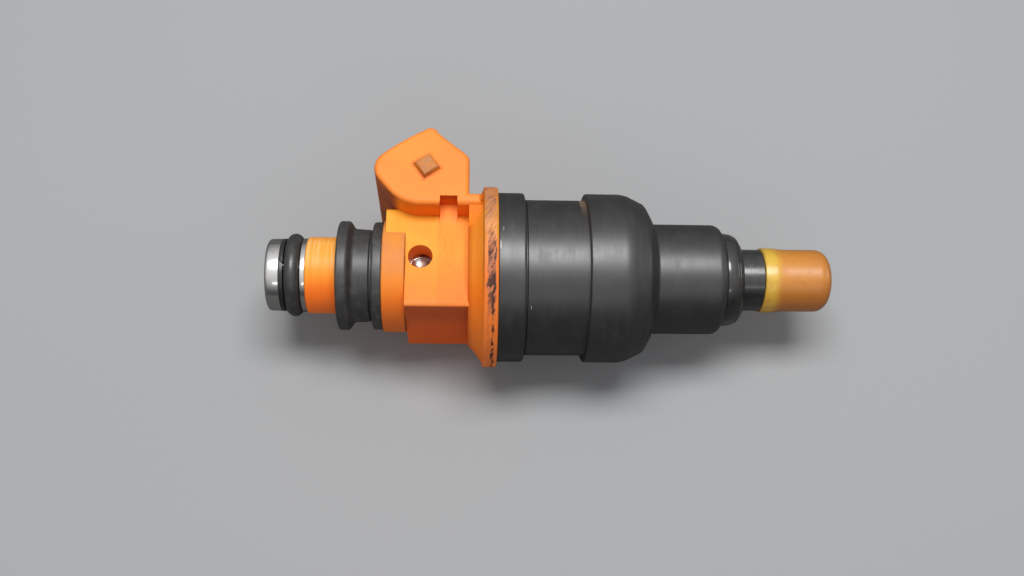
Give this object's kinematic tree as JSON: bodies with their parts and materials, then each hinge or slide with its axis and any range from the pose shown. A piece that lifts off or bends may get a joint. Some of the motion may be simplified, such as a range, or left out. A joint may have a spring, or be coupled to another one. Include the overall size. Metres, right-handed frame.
{
  "type": "fuel injector",
  "caption": "Top-feed solenoid fuel injector with an O-ring inlet, leaning two-blade connector, black case and cup sleeve, and an amber spray cap.",
  "frame": {"origin": "on the injector's axis, at the seat where the manifold spigot leaves the shoulder of the cup sleeve", "axes": "+X along the axis towards the spray end, +Y towards the electrical connector, +Z out of the flat face that holds the staking hole"},
  "size_m": [0.0752, 0.0292, 0.0242],
  "materials": {
    "polished_steel": "turned and polished steel, a little dirty",
    "brass": "drawn brass",
    "filter_nylon": "natural nylon",
    "filter_gauze": "fine woven filter gauze",
    "black_rubber": "moulded black rubber",
    "gloss_rubber": "smooth, oily black rubber",
    "black_nylon": "satin black moulding",
    "gloss_black": "glossy black",
    "spring_steel": "bright spring steel",
    "orange_nylon": "orange glass-filled nylon, scuffed",
    "tinned_brass": "tinned brass",
    "bobbin_nylon": "dark glass-filled nylon",
    "enamelled_copper": "enamelled copper wire",
    "blackened_steel": "satin black coated steel",
    "soft_iron": "ground soft iron",
    "valve_steel": "ground steel",
    "amber_nylon": "amber nylon, half clear, stained by fuel"
  },
  "bodies": {
    "injector": {"inlet_tube": "polished_steel", "filter_ring": "brass", "filter_cage": "filter_nylon", "filter_screen": "filter_gauze", "rail_o_ring": "black_rubber", "backup_ring": "black_nylon", "adjusting_tube": "spring_steel", "return_spring": "spring_steel", "connector_housing": "orange_nylon", "terminal_left": "tinned_brass", "terminal_right": "tinned_brass", "rail_grommet": "black_rubber", "coil_bobbin": "bobbin_nylon", "coil_winding": "enamelled_copper", "coil_seal_upper": "black_rubber", "coil_seal_lower": "black_rubber", "solenoid_case": "blackened_steel", "stop_plate": "soft_iron", "valve_body": "valve_steel", "valve_body_seal": "black_rubber", "cup_sleeve": "black_nylon", "nozzle_seal": "gloss_rubber", "spacer_sleeve": "gloss_black", "pintle_cap": "amber_nylon"},
    "needle_valve": {"armature": "soft_iron", "needle": "spring_steel"}
  },
  "joints": [
    {"name": "needle_lift", "type": "slide", "parent": "injector", "child": "needle_valve", "axis": [-1, 0, 0], "range_m": [0, 0.00015], "stiffness_N_per_m": 5000, "springref_m": -0.004, "deforming": ["return_spring"]}
  ]
}
